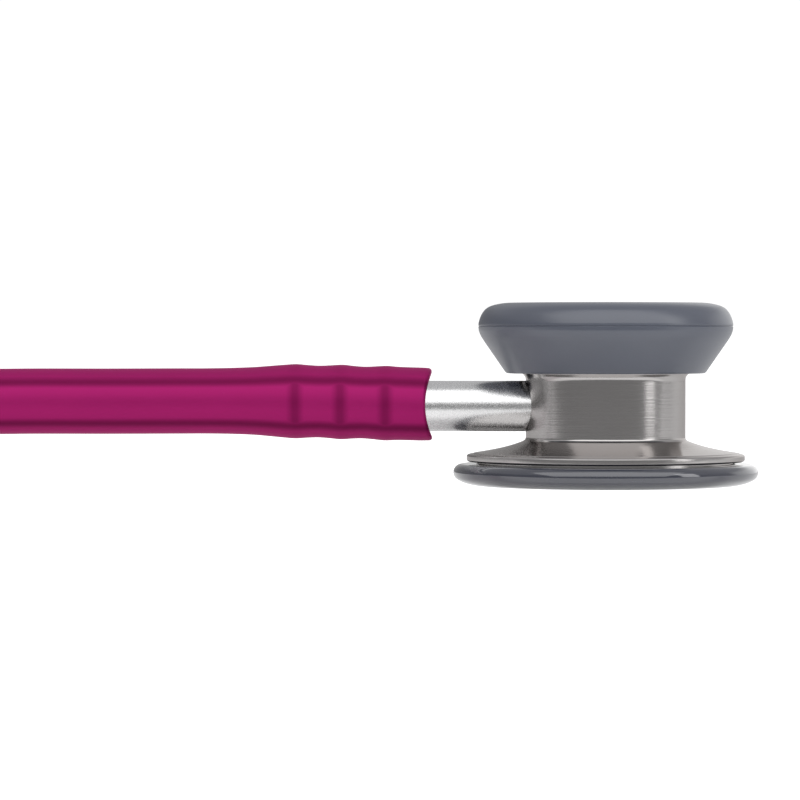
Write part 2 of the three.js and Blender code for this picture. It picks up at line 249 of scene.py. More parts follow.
def softbox(name, turn, height, distance, width, depth, brightness):
    """A soft light by its turn round the chestpiece, right of the camera, and its height."""
    a, e = math.radians(turn), math.radians(height)
    light = bpy.data.lights.new(name, "AREA")
    light.shape = "RECTANGLE"
    light.size, light.size_y = width, depth
    light.energy = brightness * math.pi * width * depth
    lamp = in_scene(name, light)
    away = Vector((math.sin(a) * math.cos(e), -math.cos(a) * math.cos(e), math.sin(e)))
    lamp.location = away * distance + Vector((0, 0, 0.01))
    lamp.rotation_euler = (-away).to_track_quat("-Z", "Y").to_euler()
    lamp.visible_camera = False


make_camera()
make_table()
make_room()
softbox("softbox_above_front", 0, 46, 2.0, 4.2, 2.45, 1.15)
softbox("softbox_right", 64, 17, 2.0, 0.55, 1.3, 2.1)
bpy.context.scene.view_settings.view_transform = "Standard"


# ---------------------------------------------------------------- finishes
def noise(tree, vector, scale, detail=3.0, roughness=0.55):
    inputs = {"Vector": vector, "Scale": scale, "Detail": detail, "Roughness": roughness}
    return node(tree, "ShaderNodeTexNoise", inputs).outputs[0]


def bump(tree, height, depth_mm, strength=1.0, under=None):
    inputs = {"Height": height, "Strength": strength, "Distance": depth_mm * MM}
    if under is not None:
        inputs["Normal"] = under
    return node(tree, "ShaderNodeBump", inputs).outputs[0]


def finished(material, colour, rough, normal, **more):
    sockets = {"Base Color": colour, "Roughness": rough, "Normal": normal, **more}
    return link_finish(material, sockets)


def turned_grain(tree, place, fineness):
    """Noise drawn out round the Z axis: lines left by a lathe or a polishing belt."""
    flat = vector_maths(tree, "MULTIPLY", place, (1, 1, 0))
    reach = vector_maths(tree, "LENGTH", flat, out=1)
    heading = vector_maths(tree, "NORMALIZE", flat)
    height = axis_of(tree, place, "Z")
    across = node(tree, "ShaderNodeCombineXYZ", {"X": reach, "Y": height}).outputs[0]
    fine = scaled(tree, across, fineness / MM)
    return vector_maths(tree, "ADD", fine, scaled(tree, heading, 0.7))


def turned_steel():
    fixed = {"Anisotropic": 0.45, "Specular_Tint": (0.68, 0.66, 0.65, 1)}
    material, tree, place = start_finish("turned_steel", 1.0, **fixed)
    lines = turned_grain(tree, place, 5.0)
    fine = noise(tree, lines, 1.0, detail=5.0, roughness=0.7)
    broad = noise(tree, scaled(tree, lines, 0.12), 1.0, detail=2.0)
    smudges = noise(tree, place, 130.0, detail=4.0)
    colour = blend_colours(tree, fine, (0.44, 0.425, 0.42), (0.52, 0.505, 0.5))
    colour = blend_colours(tree, between(tree, smudges, 0.0, 0.35), colour, (0.42, 0.405, 0.392))
    rough = maths(tree, "ADD", between(tree, fine, 0.12, 0.22), between(tree, broad, -0.03, 0.03))
    normal = bump(tree, fine, 0.012, 0.5)
    tangent = node(tree, "ShaderNodeTangent", direction_type="RADIAL", axis="Z").outputs[0]
    return finished(material, colour, rough, normal, Tangent=tangent)


def blasted_steel(name, bright, grain=5200.0):
    material, tree, place = start_finish(name, metallic=1.0)
    speckle = noise(tree, place, grain, detail=2.0, roughness=0.6)
    cloud = noise(tree, place, 260.0, detail=3.0)
    dark = tuple(0.72 * c for c in bright)
    colour = blend_colours(tree, between(tree, speckle, -0.4, 1.4), dark, bright)
    rough = maths(tree, "ADD", between(tree, speckle, 0.2, 0.32), between(tree, cloud, -0.03, 0.03))
    normal = bump(tree, speckle, 0.016, 0.4)
    return finished(material, colour, rough, normal)


def spring_steel():
    material, tree, place = start_finish("spring_steel", metallic=1.0)
    drawn = node(tree, "ShaderNodeMapping", {"Vector": place, "Scale": (0.15, 1.0, 1.0)}).outputs[0]
    lines = noise(tree, drawn, 6000.0, detail=3.0)
    tint = noise(tree, place, 400.0)
    colour = blend_colours(tree, lines, (0.26, 0.265, 0.28), (0.42, 0.42, 0.43))
    colour = blend_colours(tree, between(tree, tint, 0.0, 0.3), colour, (0.3, 0.27, 0.22))
    normal = bump(tree, lines, 0.008, 0.5)
    rough = between(tree, lines, 0.2, 0.38)
    return finished(material, colour, rough, normal)


def rubber(name, shade, roughness, gloss=0.5):
    """Moulded rubber: fine eggshell skin, faint handling marks, a little dust."""
    material, tree, place = start_finish(name, Specular_IOR_Level=gloss)
    skin = noise(tree, place, 4200.0, detail=3.0)
    marks = noise(tree, place, 190.0, detail=4.0, roughness=0.6)
    light = tuple(min(1.0, 1.1 * c) for c in shade)
    dark = tuple(0.92 * c for c in shade)
    colour = blend_colours(tree, between(tree, marks, 0.1, 0.9), dark, light)
    dust = node(tree, "ShaderNodeTexVoronoi", {"Vector": place, "Scale": 900.0})
    specks = ramp(tree, dust.outputs["Distance"], [(0.0, 1.0), (0.055, 0.0)])
    colour = blend_colours(tree, maths(tree, "MULTIPLY", specks, 0.1), colour, (0.5, 0.5, 0.5))
    rough = between(tree, marks, roughness - 0.02, roughness + 0.03)
    normal = bump(tree, skin, 0.008, 0.2)
    return finished(material, colour, rough, normal)


def glossy_rim():
    """Hard moulded plastic, nearly polished, with a slight waviness and hairline scuffs."""
    fixed = {"Specular_IOR_Level": 1.0, "Coat_Weight": 0.6}
    material, tree, place = start_finish("glossy_rim_plastic", **fixed)
    wave = noise(tree, place, 240.0, detail=2.0)
    scuffs = noise(tree, turned_grain(tree, place, 2.2), 1.0, detail=4.0, roughness=0.7)
    colour = blend_colours(tree, wave, (0.026, 0.028, 0.042), (0.036, 0.039, 0.057))
    rough = between(tree, scuffs, 0.05, 0.13)
    normal = bump(tree, wave, 0.02, 0.4, under=bump(tree, scuffs, 0.004, 0.4))
    return finished(material, colour, rough, normal)


def raspberry(name, parting_line=False):
    """Soft PVC: deep pearly colour, a satin skin with a coloured gloss and a faint bloom."""
    fixed = {"Subsurface_Weight": 0.05, "Subsurface_Scale": 0.001, "Specular_IOR_Level": 0.15}
    fixed |= {"Subsurface_Radius": (1.0, 0.1, 0.3), "Specular_Tint": (0.9, 0.3, 0.6, 1)}
    material, tree, place = start_finish(name, 0.4, **fixed)
    bloom = noise(tree, place, 75.0, detail=3.0)
    skin = noise(tree, place, 2600.0, detail=3.0)
    deep, pale = (0.315, 0.012, 0.116), (0.365, 0.0145, 0.135)
    colour = blend_colours(tree, between(tree, bloom, 0.1, 0.9), deep, pale)
    pits = node(tree, "ShaderNodeTexVoronoi", {"Vector": place, "Scale": 700.0})
    lint = ramp(tree, pits.outputs["Distance"], [(0.0, 1.0), (0.045, 0.0)])
    colour = blend_colours(tree, maths(tree, "MULTIPLY", lint, 0.1), colour, (0.5, 0.2, 0.35))
    # Darker bands above and below the tube's middle: painted shade, for dark reflections.
    rise = node(tree, "ShaderNodeAttribute", attribute_name="rise").outputs["Fac"]
    off = maths(tree, "ABSOLUTE", maths(tree, "SUBTRACT", maths(tree, "ABSOLUTE", rise), 0.62))
    wall = ramp(tree, maths(tree, "DIVIDE", off, 0.17), [(0.0, 1.0), (0.35, 0.8), (1.0, 0.0)])
    # Darker too over each barb's crest, on the tube's front and back: painted shade as well.
    barbs_start, barbs_length = -42, 21
    stops = []
    for crest in BARB_CRESTS[::-1]:
        middle = (crest - barbs_start) / barbs_length
        for aside, tint in ((-0.055, 0.0), (-0.012, 0.75), (0.012, 0.75), (0.055, 0.0)):
            stops.append((middle + aside, tint))
    along = maths(tree, "ADD", axis_of(tree, place, "X"), -barbs_start * MM)
    painted_crest_shade = ramp(tree, maths(tree, "DIVIDE", along, barbs_length * MM), stops)
    facing = ramp(tree, maths(tree, "ABSOLUTE", rise), [(0.5, 1.0), (0.75, 0.15)])
    wall = maths(tree, "MAXIMUM", wall, maths(tree, "MULTIPLY", painted_crest_shade, facing))
    # wall now holds all the painted shade, which darkens the colour towards a deep raspberry.
    colour = blend_colours(tree, maths(tree, "MULTIPLY", wall, 0.9), colour, (0.135, 0.0035, 0.046))
    rough = between(tree, bloom, 0.4, 0.5)
    normal = bump(tree, skin, 0.01, 0.35)
    if parting_line:
        height = axis_of(tree, place, "Z")
        off = maths(tree, "ABSOLUTE", maths(tree, "SUBTRACT", height, PARTING_Z * MM))
        ridge = ramp(tree, maths(tree, "DIVIDE", off, 0.3 * MM), [(0.0, 1.0), (1.0, 0.0)])
        normal = bump(tree, ridge, 0.12, 0.8, under=normal)
    return finished(material, colour, rough, normal)


def epoxy_sheet():
    """Clear resin over fine glass cloth: two sets of threads, half a millimetre apart."""
    fixed = {"Coat_Weight": 0.6, "Coat_Roughness": 0.12}
    material, tree, place = start_finish("epoxy_glass_sheet", **fixed)
    threads = []
    for direction in ("X", "Y"):
        inputs = {"Vector": place, "Scale": 320.0, "Distortion": 0.3, "Detail": 1.0}
        wave = node(tree, "ShaderNodeTexWave", inputs, bands_direction=direction)
        threads.append(wave.outputs["Fac"])
    weave = maths(tree, "MAXIMUM", threads[0], threads[1])
    cloud = noise(tree, place, 120.0)
    colour = blend_colours(tree, weave, (0.58, 0.59, 0.55), (0.72, 0.73, 0.7))
    colour = blend_colours(tree, between(tree, cloud, 0.0, 0.3), colour, (0.66, 0.65, 0.58))
    rough = between(tree, weave, 0.3, 0.45)
    normal = bump(tree, weave, 0.01, 0.4)
    return finished(material, colour, rough, normal)


def hard_plastic():
    material, tree, place = start_finish("hard_core_plastic")
    grain = noise(tree, place, 3000.0, detail=2.0)
    colour = blend_colours(tree, grain, (0.03, 0.031, 0.035), (0.055, 0.056, 0.06))
    rough = between(tree, grain, 0.38, 0.52)
    normal = bump(tree, grain, 0.015, 0.4)
    return finished(material, colour, rough, normal)


STEEL = turned_steel()
STEM_STEEL = blasted_steel("bead_blasted_steel", (0.86, 0.86, 0.86))
EAR_ALLOY = blasted_steel("satin_ear_tube_alloy", (0.7, 0.7, 0.71), grain=7000.0)
SPRING_STEEL = spring_steel()
SLEEVE_RUBBER = rubber("satin_grey_rubber", (0.076, 0.086, 0.115), 0.32, gloss=0.95)
TIP_RUBBER = rubber("soft_ear_tip_rubber", (0.105, 0.112, 0.13), 0.5)
SEAL_RUBBER = rubber("black_seal_rubber", (0.02, 0.02, 0.022), 0.55)
RIM_PLASTIC = glossy_rim()
TUBE_PVC = raspberry("raspberry_pvc")
MOULDED_PVC = raspberry("raspberry_pvc_moulded", parting_line=True)
EPOXY = epoxy_sheet()
CORE_PLASTIC = hard_plastic()


# ---------------------------------------------------------------- turned pieces
def rounded(corners, closed=True):
    """An outline's corners (radius, height, rounding) as a smooth run of (radius, height)."""
    points = []
    count = len(corners)
    for i, (radius, height, rounding) in enumerate(corners):
        here = Vector((radius, height))
        if rounding == 0 or (not closed and i in (0, count - 1)):
            points.append(here)
            continue
        back = Vector(corners[i - 1][:2]) - here
        on = Vector(corners[(i + 1) % count][:2]) - here
        bend = math.pi - back.angle(on)
        reach = rounding * math.tan(bend / 2)
        near_back, near_on = (min(reach, 0.47 * side.length) for side in (back, on))
        first = here + back.normalized() * near_back
        last = here + on.normalized() * near_on
        steps = max(2, math.ceil(math.degrees(bend) / 9))
        for k in range(steps + 1):
            t = k / steps
            points.append((1 - t) ** 2 * first + 2 * t * (1 - t) * here + t * t * last)
    kept = []
    for point in points:
        if not kept or (point - kept[-1]).length > 0.004:
            kept.append(point)
    return [(max(p.x, 0.0), p.y) for p in kept]


def with_supports(outline, closed=True, margin=0.12):
    """Extra points beside the ends of long straight runs, so that shading stays flat there."""
    made = []
    count = len(outline)
    for i in range(count):
        start, end = Vector(outline[i]), Vector(outline[(i + 1) % count])
        made.append(tuple(start))
        if not closed and i == count - 1:
            break
        run = end - start
        if run.length > 4 * margin:
            made.append(tuple(start + run.normalized() * margin))
            made.append(tuple(end - run.normalized() * margin))
    return made


def new_piece(name, mesh, finish):
    mesh.name = name
    mesh.materials.clear()
    mesh.materials.append(finish)
    return in_scene(name, mesh)


def attach(piece, body, slot, *nodes):
    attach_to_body(piece, body)
    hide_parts(*nodes)


def shade_crisp(mesh):
    mesh.shade_smooth()
    mesh.set_sharp_from_angle(angle=CREASE)


def faced_out(mesh):
    """Doubles merged, every face turned outwards, and smooth shading with crisp edges kept."""
    work = bmesh.new()
    work.from_mesh(mesh)
    bmesh.ops.remove_doubles(work, verts=work.verts, dist=1e-7)
    bmesh.ops.dissolve_degenerate(work, edges=work.edges, dist=1e-8)
    bmesh.ops.recalc_face_normals(work, faces=work.faces)
    work.to_mesh(mesh)
    work.free()
    shade_crisp(mesh)
    return mesh


def turned_mesh(outline, sides, place=Matrix.Identity(4), closed=True):
    """An outline of (radius, height) in millimetres, turned about Z and then put in place."""
    vertices, rings = [], []
    for radius, height in outline:
        if radius < 1e-6:
            rings.append([len(vertices)])
            vertices.append((0, 0, height))
            continue
        rings.append(list(range(len(vertices), len(vertices) + sides)))
        for k in range(sides):
            angle = 2 * math.pi * k / sides
            vertices.append((radius * math.cos(angle), radius * math.sin(angle), height))
    faces = []
    pairs = list(zip(rings, rings[1:])) + ([(rings[-1], rings[0])] if closed else [])
    for low, high in pairs:
        for k in range(sides):
            n = (k + 1) % sides
            if len(low) == 1 and len(high) == 1:
                continue
            if len(low) == 1:
                faces.append((low[0], high[n], high[k]))
            elif len(high) == 1:
                faces.append((low[k], low[n], high[0]))
            else:
                faces.append((low[k], low[n], high[n], high[k]))
    mesh = bpy.data.meshes.new("turned")
    mesh.from_pydata([place @ Vector(v) * MM for v in vertices], [], faces)
    return faced_out(mesh)


def turned_piece(name, corners, finish, sides=256, place=Matrix.Identity(4), closed=True):
    outline = with_supports(rounded(corners, closed), closed)
    return new_piece(name, turned_mesh(outline, sides, place, closed), finish)


def plug(radius, low, high):
    return [(0, low), (radius, low), (radius, high), (0, high)]


def carve(piece, *tools):
    """Cuts each tool's shape out of the piece. A tool is a mesh."""
    for mesh in tools:
        tool = in_scene("tool", mesh)
        cut = piece.modifiers.new("cut", "BOOLEAN")
        cut.operation, cut.solver, cut.object = "DIFFERENCE", "EXACT", tool
        flatten(piece)
        bpy.data.objects.remove(tool)
    shade_crisp(piece.data)


def flatten(piece):
    """The piece with its modifiers worked into a plain mesh."""
    settled = bpy.context.evaluated_depsgraph_get()
    mesh = bpy.data.meshes.new_from_object(piece.evaluated_get(settled))
    piece.modifiers.clear()
    piece.data = mesh


ON_STEM = Matrix.Translation((0, 0, STEM_AXIS_Z)) @ Matrix.Rotation(math.pi / 2, 4, "Y")


# ---------------------------------------------------------------- hoses and tubes
def hermite(t):
    """How much each end and its slope count at t: start, start's slope, end, end's slope."""
    return 2 * t**3 - 3 * t**2 + 1, t**3 - 2 * t**2 + t, -2 * t**3 + 3 * t**2, t**3 - t**2


def smooth_line(points, per_span=30):
    """A smooth curve through points, as evenly spread points."""
    given = [Vector(p) for p in points]
    given = [2 * given[0] - given[1], *given, 2 * given[-1] - given[-2]]
    fine = []
    for i in range(1, len(given) - 2):
        p0, p1, p2, p3 = given[i - 1 : i + 3]
        d0, d1, d2 = ((b - a).length ** 0.5 for a, b in ((p0, p1), (p1, p2), (p2, p3)))
        m1 = d1 * ((p1 - p0) / d0 - (p2 - p0) / (d0 + d1) + (p2 - p1) / d1)
        m2 = d1 * ((p2 - p1) / d1 - (p3 - p1) / (d1 + d2) + (p3 - p2) / d2)
        for k in range(per_span):
            a, b, c, d = hermite(k / per_span)
            fine.append(a * p1 + b * m1 + c * p2 + d * m2)
    fine.append(given[-2])
    return np.array(fine)


def lengths(line):
    steps = np.linalg.norm(np.diff(line, axis=0), axis=1)
    return np.concatenate([[0], np.cumsum(steps)])


def at_lengths(line, wanted):
    done = lengths(line)
    return np.stack([np.interp(wanted, done, line[:, k]) for k in range(3)], axis=1)


def new_tree(name, inputs, output):
    """A Geometry Nodes tree with named inputs and one output, and its inputs' sockets."""
    tree = bpy.data.node_groups.new(name, "GeometryNodeTree")
    for title, kind in inputs.items():
        tree.interface.new_socket(title, in_out="INPUT", socket_type="NodeSocket" + kind)
    tree.interface.new_socket(output, in_out="OUTPUT", socket_type="NodeSocketGeometry")
    return tree, node(tree, "NodeGroupInput").outputs


def end_tree(tree, geometry, finish):
    real = node(tree, "GeometryNodeRealizeInstances", {"Geometry": geometry}).outputs[0]
    painted = node(tree, "GeometryNodeSetMaterial", {"Geometry": real, "Material": finish})
    tree.links.new(painted.outputs[0], node(tree, "NodeGroupOutput").inputs[0])
    return tree


def hose_tree():
    """Stretches a skin over a row of rings: each point is a ring's centre, with its radius."""
    inputs = {"Rings": "Geometry", "Sides round": "Int", "Finish": "Material"}
    tree, given = new_tree("hose_skin", inputs, "Hose")
    rings = given["Rings"]
    count = node(tree, "GeometryNodeAttributeDomainSize", {"Geometry": rings})
    columns = maths(tree, "ADD", given["Sides round"], 1.0)
    sizes = {"Vertices X": count.outputs["Point Count"], "Vertices Y": columns}
    grid = node(tree, "GeometryNodeMeshGrid", sizes).outputs["Mesh"]
    index = node(tree, "GeometryNodeInputIndex").outputs[0]
    ring = maths(tree, "FLOOR", maths(tree, "DIVIDE", maths(tree, "ADD", index, 0.5), columns))
    column = maths(tree, "SUBTRACT", index, maths(tree, "MULTIPLY", ring, columns))
    share = maths(tree, "DIVIDE", column, given["Sides round"])
    angle = maths(tree, "MULTIPLY", share, 2 * math.pi)

    def of_ring(value, kind):
        inputs = {"Value": value, "Geometry": rings, "Index": ring}
        settings = {"data_type": kind, "clamp": True}
        return node(tree, "GeometryNodeSampleIndex", inputs, **settings).outputs[0]

    def carried(name, kind):
        made = node(tree, "GeometryNodeInputNamedAttribute", {"Name": name}, data_type=kind)
        return of_ring(made.outputs[0], kind)

    centre = of_ring(node(tree, "GeometryNodeInputPosition").outputs[0], "FLOAT_VECTOR")
    radius = carried("ring_radius", "FLOAT")
    reach = []
    for name, wave in (("ring_side", "COSINE"), ("ring_up", "SINE")):
        amount = maths(tree, "MULTIPLY", radius, maths(tree, wave, angle))
        reach.append(scaled(tree, carried(name, "FLOAT_VECTOR"), amount))
    spot = vector_maths(tree, "ADD", centre, vector_maths(tree, "ADD", *reach))
    moved = node(tree, "GeometryNodeSetPosition", {"Geometry": grid, "Position": spot}).outputs[0]
    kept = node(tree, "GeometryNodeStoreNamedAttribute", {"Geometry": moved, "Name": "rise"})
    tree.links.new(maths(tree, "SINE", angle), kept.inputs["Value"])
    inputs = {"Geometry": kept.outputs[0], "Distance": 2e-7}
    closed = node(tree, "GeometryNodeMergeByDistance", inputs).outputs[0]
    return end_tree(tree, closed, given["Finish"])


HOSE_TREE = hose_tree()


def set_inputs(modifier, **values):
    """A Geometry Nodes modifier's inputs, by the names that its tree gives them."""
    for item in modifier.node_group.interface.items_tree:
        name = item.name.replace(" ", "_").lower()
        if item.item_type == "SOCKET" and item.in_out == "INPUT" and name in values:
            modifier[item.identifier] = values[name]


def carried_axes(ways):
    """Each ring's side and up directions, carried along the line without twisting."""
    up = np.array([0.0, 0.0, 1.0])
    sides, ups = [], []
    for way in ways:
        up = up - way * (up @ way)
        up /= np.linalg.norm(up)
        ups.append(up.copy())
        sides.append(np.cross(up, way))
    return np.array(sides), np.array(ups)


def hose_piece(name, rings, finish, sides):
    """A closed skin over (centre, radius, way) rings in millimetres. The end rings are points."""
    centres = np.array([centre for centre, _, _ in rings], float)
    ways = np.array([way for _, _, way in rings], float)
    ways /= np.linalg.norm(ways, axis=1)[:, None]
    mesh = bpy.data.meshes.new(name)
    mesh.from_pydata([tuple(c * MM) for c in centres], [], [])
    for title, values in zip(("ring_side", "ring_up"), carried_axes(ways)):
        carried = mesh.attributes.new(title, "FLOAT_VECTOR", "POINT")
        carried.data.foreach_set("vector", values.ravel())
    radii = np.array([radius for _, radius, _ in rings], float) * MM
    mesh.attributes.new("ring_radius", "FLOAT", "POINT").data.foreach_set("value", radii)
    piece = new_piece(name, mesh, finish)
    skin = piece.modifiers.new("skin", "NODES")
    skin.node_group = HOSE_TREE
    set_inputs(skin, sides_round=sides, finish=finish)
    flatten(piece)
    faced_out(piece.data)
    return piece


def ways_along(line, places):
    """The line's direction at each length along it."""
    step = 0.4
    whole = lengths(line)[-1]
    on = at_lengths(line, np.minimum(np.array(places) + step, whole))
    back = at_lengths(line, np.maximum(np.array(places) - step, 0))
    return (on - back) / np.linalg.norm(on - back, axis=1)[:, None]


def eased(position, stops):
    """A value that runs smoothly through (position, value) stops."""
    places, values = zip(*stops)
    slopes = np.gradient(np.array(values, float), np.array(places, float))
    out = []
    for p in np.atleast_1d(position):
        p = min(max(p, places[0]), places[-1])
        i = min(max(int(np.searchsorted(places, p, side="right")) - 1, 0), len(places) - 2)
        h = places[i + 1] - places[i]
        a, b, c, d = hermite((p - places[i]) / h)
        out.append(a * values[i] + b * h * slopes[i] + c * values[i + 1] + d * h * slopes[i + 1])
    return np.array(out)


def mouth_rings(outer, inner, rounding, dish=0.0, steps=8):
    """A hose's rounded mouth: (distance in from the mouth, radius) from outside to inside."""
    rings = []
    for k in range(steps + 1):
        a = 0.5 * math.pi * k / steps
        rings.append((rounding * (1 - math.sin(a)), outer - rounding * (1 - math.cos(a))))
    soft = 0.25
    rings.append((dish, inner + soft))
    for k in range(1, 5):
        a = 0.5 * math.pi * k / 4
        rings.append((dish + soft * (1 - math.cos(a)), inner + soft * (1 - math.sin(a))))
    return rings


# The tubing's route from its mouth on the stem to the yoke. The loop is one turn that widens as
# it comes round, climbs over the tube once, and runs out to the yoke.
TUBE_RADIUS = 4.1
MOUTH_X, MOUTH_Z, MOUTH_RADIUS = -21.5, 9.45, 4.5
TUBE_REST_Z = TABLE_Z + TUBE_RADIUS
YOKE_X, YOKE_Y = -168.0, -12.0


def tubing_route():
    route = [(MOUTH_X, 0, MOUTH_Z), (-28, 0, 9.62), (-35, 0, 9.79), (-43, 0, 9.88), (-52, 0, 9.88)]
    route += [(-62, 0, 9.85), (-74, 0, 9.84), (-82, 0, 9.65), (-91, 0, 8.7), (-101, 0, 6.7)]
    route += [(-110, 0, 4.85), (-120, 0, 3.65)]
    route += [(-129, 0, TUBE_REST_Z), (-138, 0, TUBE_REST_Z)]
    for i in range(25):
        degrees = 15 * i
        s = min(max((degrees - 200) / 160, 0), 1)
        radius = 35 + 12 * s * s * (3 - 2 * s)
        lift = 8.7 * math.exp(-0.5 * ((degrees - 321) / 24) ** 2)
        a = math.radians(degrees)
        route.append((-148 - radius * math.sin(a), 35 - radius * math.cos(a), TUBE_REST_Z + lift))
    route += [(YOKE_X + 8, YOKE_Y, TUBE_REST_Z + 0.15), (YOKE_X, YOKE_Y, TUBE_REST_Z)]
    return smooth_line(route)


# Where the tubing stands proud over the stem's barbs: (distance from its mouth, radius).
OVER_BARBS = [
    (0, MOUTH_RADIUS), (1.0, 4.56), (3.2, 4.58), (4.6, 4.6), (6.0, 4.68),
    (7.4, 4.58), (8.8, 4.5), (10.1, 4.56), (11.5, 4.68), (12.9, 4.58), (14.4, 4.5),
    (15.8, 4.56), (17.2, 4.66), (18.8, 4.56), (20.4, 4.42), (22.4, 4.26),
    (24.2, 4.18), (28, TUBE_RADIUS), (32, TUBE_RADIUS),
]


def notch_mouth(mesh, depth=1.1, reach=3.0):
    """The end isn't cut square: seen from the side it is hollow between its top and its bottom."""
    for vertex in mesh.vertices:
        x, _, z = vertex.co / MM
        deep = MOUTH_X - x
        if deep < reach:
            hollow = max(1 - ((z - MOUTH_Z) / MOUTH_RADIUS) ** 2, 0)
            vertex.co.x -= depth * hollow * (1 - deep / reach) * MM


def make_tubing():
    line = tubing_route()
    whole = lengths(line)[-1]
    inside_yoke, bore, wall = 3.0, 3.3, 1.2
    near = np.arange(0.7, 30, 0.3)
    far = np.arange(30, whole, 1.4)
    places = np.concatenate([near, far, [whole]])
    centres = at_lengths(line, places)
    radii = eased(np.minimum(places, 32), OVER_BARBS)
    last = centres[-1] + np.array([-inside_yoke, 0, 0])
    # From the yoke's end back to the mouth, round its lip and in along the stem.
    level = np.array([1.0, 0, 0])
    rings = [(last, 0.0, level), (last, TUBE_RADIUS, level)]
    rings += list(zip(centres, radii, -ways_along(line, places)))[::-1]
    lip = mouth_rings(float(eased(0.7, OVER_BARBS)[0]), bore, 0.7, dish=0.12)
    mouth = np.array(line[0])
    for deep, radius in lip[1:]:
        share = min(1.0, (MOUTH_RADIUS - radius) / wall)
        drop = share * (STEM_AXIS_Z - mouth[2])
        rings.append((mouth + np.array([-deep, 0, drop]), radius, level))
    for deep, radius in ((2, bore), (8, bore), (15, 3.34), (21.8, 3.34), (22.7, 2.5), (22.8, 0.0)):
        rings.append((np.array([MOUTH_X - deep, 0, STEM_AXIS_Z]), radius, level))
    piece = hose_piece("tubing_hose", rings, TUBE_PVC, 72)
    notch_mouth(piece.data)
    piece.visible_glossy = False  # the steel neck is lit as if the tubing were screened off
    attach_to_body(piece, "tubing")
    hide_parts("tube_socket", "lower_tube", "tube_loop")


make_tubing()


# ---------------------------------------------------------------- chestpiece
SMOOTH = 99  # a rounding as large as its neighbours allow

BODY = [
    (1.6, 2, 0.15), (8, 1.75, SMOOTH), (15, 1, 0.3), (16.5, 1, 0.12),
    (16.5, 1.45, 0.08), (15.9, 1.6, 0.1), (15.9, 2.32, 0.1), (17.2, 2.32, 0.12),
    (17.4, 2.5, 0.12), (17.4, 3.05, 0.12), (17.25, 3.2, 0.1), (16.66, 3.354, 0.03),
    (16.56, 3.3, 0.03), (16.46, 3.406, 0.03), (15.2, 3.6, SMOOTH),
    (13.1, 4.0, SMOOTH), (11.4, 4.47, SMOOTH), (10.3, 4.9, 0.3), (10, 5.15, 0.4),
    (10, 12.85, 1.0), (10.4, 13.3, 0.1), (10.4, 13.6, 0.1), (11.2, 14.4, 0.2),
    (13.7, 17, SMOOTH), (14.2, 18.4, SMOOTH), (14.2, 20.2, SMOOTH),
    (13.9, 20.7, SMOOTH), (13.4, 20.9, SMOOTH), (12.6, 20.9, SMOOTH),
    (11.75, 20.4, SMOOTH), (11.5, 19.4, SMOOTH), (10.8, 18.1, SMOOTH),
    (9.95, 17.2, SMOOTH), (8.4, 16.3, SMOOTH), (6, 15.5, SMOOTH), (3, 15, SMOOTH),
    (1.75, 14.9, 0.1), (1.6, 14.72, 0.1),
]

SLEEVE = [
    (10.75, 13.35, 0.1), (12.45, 13.35, 0.45), (14.9, 16.9, SMOOTH),
    (15.62, 17.95, SMOOTH), (15.88, 18.7, 0.5), (15.93, 19.16, 0.02),
    (15.84, 19.25, 0.03), (15.93, 19.34, 0.02), (15.92, 19.6, 0.5),
    (15.74, 20.3, SMOOTH), (15.42, 20.95, SMOOTH), (15, 21.45, SMOOTH),
    (14.4, 21.8, SMOOTH), (13.4, 22.05, SMOOTH), (12.3, 22.2, SMOOTH),
    (11.2, 22.1, SMOOTH), (10.7, 21.7, SMOOTH), (10.6, 21.2, SMOOTH),
    (10.8, 20.7, SMOOTH), (11.3, 20.45, 0.2), (11.4, 20.8, 0.2),
    (12.4, 21.25, SMOOTH), (13.5, 21.25, SMOOTH), (14.2, 21, SMOOTH),
    (14.55, 20.35, SMOOTH), (14.55, 18.3, SMOOTH), (13.95, 16.76, SMOOTH),
    (11.45, 14.16, 0.3), (10.75, 13.5, 0.1),
]

RIM = [
    (14.4, -0.7, 0.12), (15.6, -0.7, SMOOTH), (16.6, -0.64, SMOOTH),
    (17.6, -0.42, SMOOTH), (18.4, -0.08, SMOOTH), (18.85, 0.25, SMOOTH),
    (19.05, 0.65, SMOOTH), (19.1, 1.0, SMOOTH), (19.0, 1.4, SMOOTH),
    (18.76, 1.73, SMOOTH), (18.45, 1.94, SMOOTH), (18.1, 2.02, 0.3),
    (16.2, 2.02, 0.1), (16.2, 1.75, 0.1), (16.8, 1.75, 0.1), (16.8, 0.7, 0.1),
    (16.2, 0.65, 0.1), (16.2, -0.3, 0.1), (14.4, -0.3, 0.12),
]

DIAPHRAGM = [
    (0, 0, 0), (14.1, 0, 0.3), (14.2, 0.1, 0.1), (15.9, 0.1, 0.05),
    (15.9, 0.35, 0.05), (0, 0.35, 0),
]

STEM_RADIUS = 3.18


def stem_outline():
    """From the sealed inner end outwards along the outside, then back along the bore."""
    r = STEM_RADIUS
    outline = [(0, 4.6, 0), (2.9, 4.6, 0.25), (r, 4.3, 0.1), (r, 3.9, 0.05), (2.5, 3.9, 0.05)]
    outline += [(2.5, 2.7, 0.05), (r, 2.7, 0.05), (r, -3.1, 0.05), (2.65, -3.1, 0.1)]
    outline += [(2.65, -5.3, 0.1), (r, -5.3, 0.05), (r, -7.05, 0.05), (2.2, -7.05, 0.1)]
    outline += [(2.2, -8.35, 0.1), (r, -8.35, 0.05), (r, -24.2, 0.2), (2.85, -24.8, 0.2)]
    for crest in BARB_CRESTS:
        outline += [(2.85, crest + 1.6, 0.2), (3.3, crest, 0.12), (2.85, crest - 3.6, 0.2)]
    outline += [(2.2, -43.6, 0.2), (2.1, -44, 0.1), (1.5, -44, 0.1), (1.5, 1.6, 0.1), (0, 1.6, 0)]
    return outline


